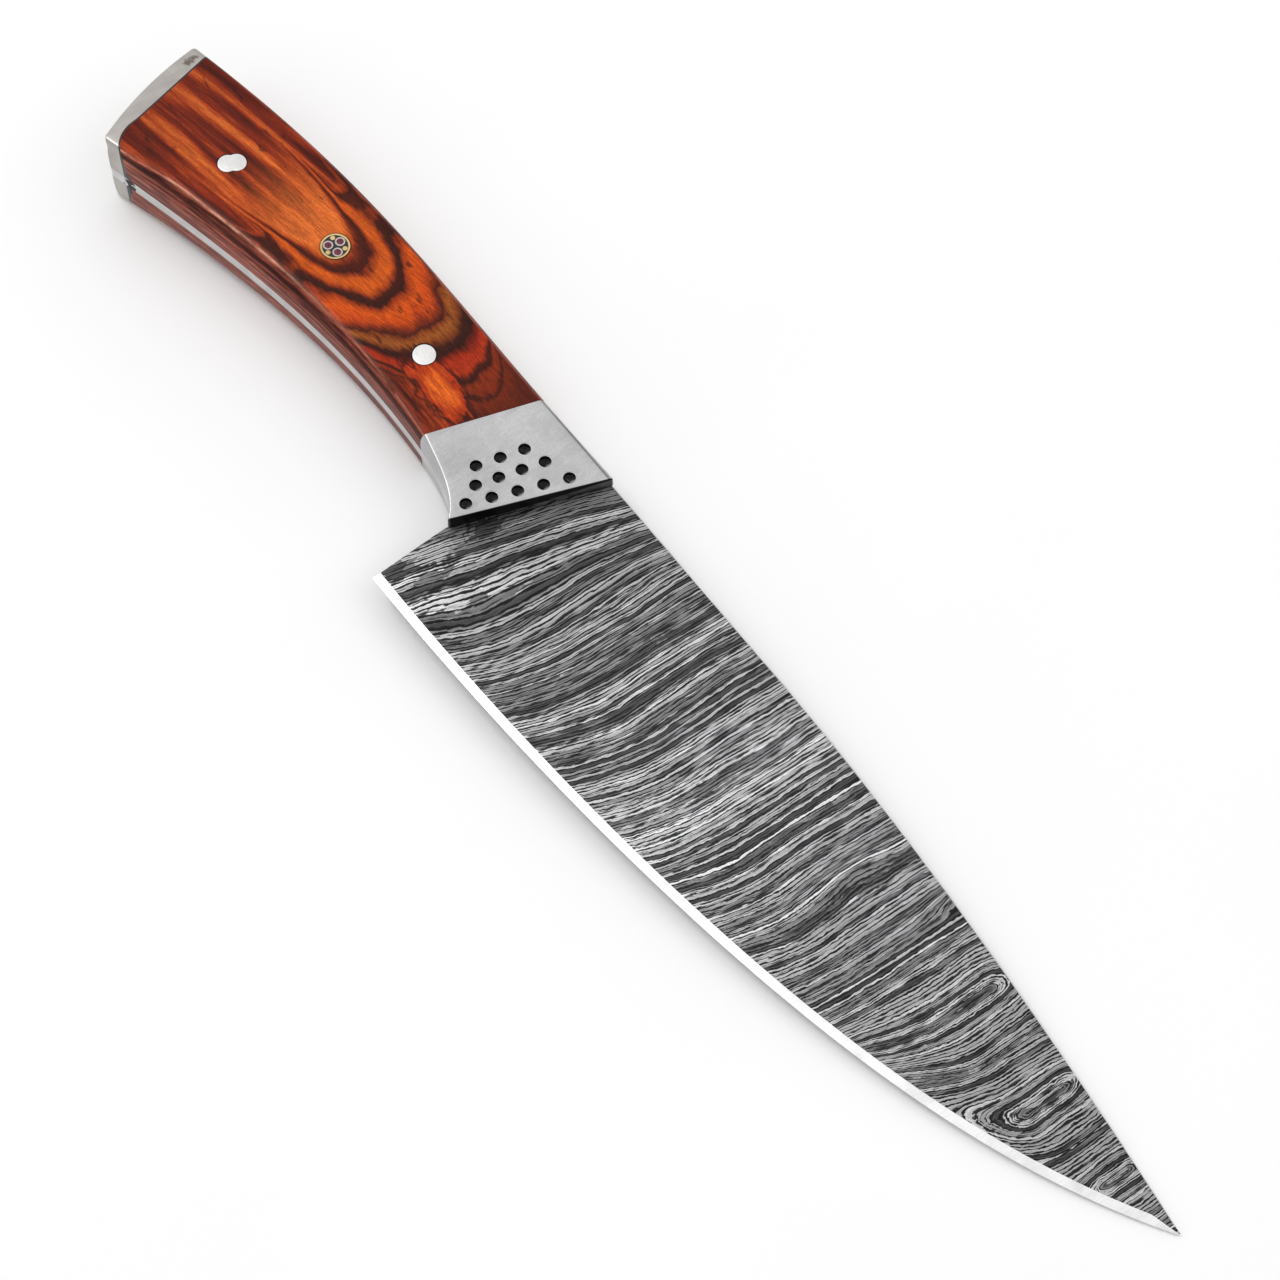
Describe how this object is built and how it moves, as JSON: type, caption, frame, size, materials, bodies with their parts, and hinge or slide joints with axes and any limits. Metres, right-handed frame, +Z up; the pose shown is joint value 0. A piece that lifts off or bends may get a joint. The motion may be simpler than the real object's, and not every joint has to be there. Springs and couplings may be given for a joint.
{
  "type": "chef knife",
  "caption": "Full-tang kitchen knife with pattern-welded blade, dimpled bolsters, wooden scales, steel butt caps and a mosaic pin, lying on its side.",
  "frame": {"origin": "middle of the knife's box in plan, on the plane that it rests on", "axes": "+X from the butt to the tip, +Y from the edge to the spine, +Z up from the left side to the right side; the knife lies on its left side"},
  "size_m": [0.3299, 0.0517, 0.0208],
  "materials": {
    "blade_steel": "etched pattern-welded steel with a polished edge bevel",
    "bolster_steel": "satin stainless steel",
    "cap_steel": "satin stainless steel, slightly warm",
    "scale_wood": "dyed laminated hardwood, polished",
    "epoxy": "cured black epoxy",
    "pin_steel": "polished flush with the wood",
    "pin_brass": "polished flush with the wood",
    "pin_nickel": "polished flush with the wood",
    "pin_core": "dark maroon filler",
    "dowel_steel": "plain steel rod"
  },
  "bodies": {
    "root": {"blade": "blade_steel", "bolster_right": "bolster_steel", "bolster_left": "bolster_steel", "scale_right": "scale_wood", "scale_left": "scale_wood", "butt_cap_right": "cap_steel", "butt_cap_left": "cap_steel", "epoxy_seam_right": "epoxy", "epoxy_seam_left": "epoxy", "front_pin": "pin_steel", "rear_pin": "pin_steel", "mosaic_tube": "pin_brass", "mosaic_resin": "epoxy", "mosaic_tubelet_1": "pin_nickel", "mosaic_tubelet_2": "pin_nickel", "mosaic_tubelet_3": "pin_nickel", "mosaic_core_1": "pin_core", "mosaic_core_2": "pin_core", "mosaic_core_3": "pin_core", "mosaic_rod_1": "pin_brass", "mosaic_rod_2": "pin_brass", "mosaic_rod_3": "pin_brass", "bolster_dowel_upper": "dowel_steel", "bolster_dowel_lower": "dowel_steel", "butt_dowel_upper": "dowel_steel", "butt_dowel_lower": "dowel_steel"}
  },
  "joints": []
}
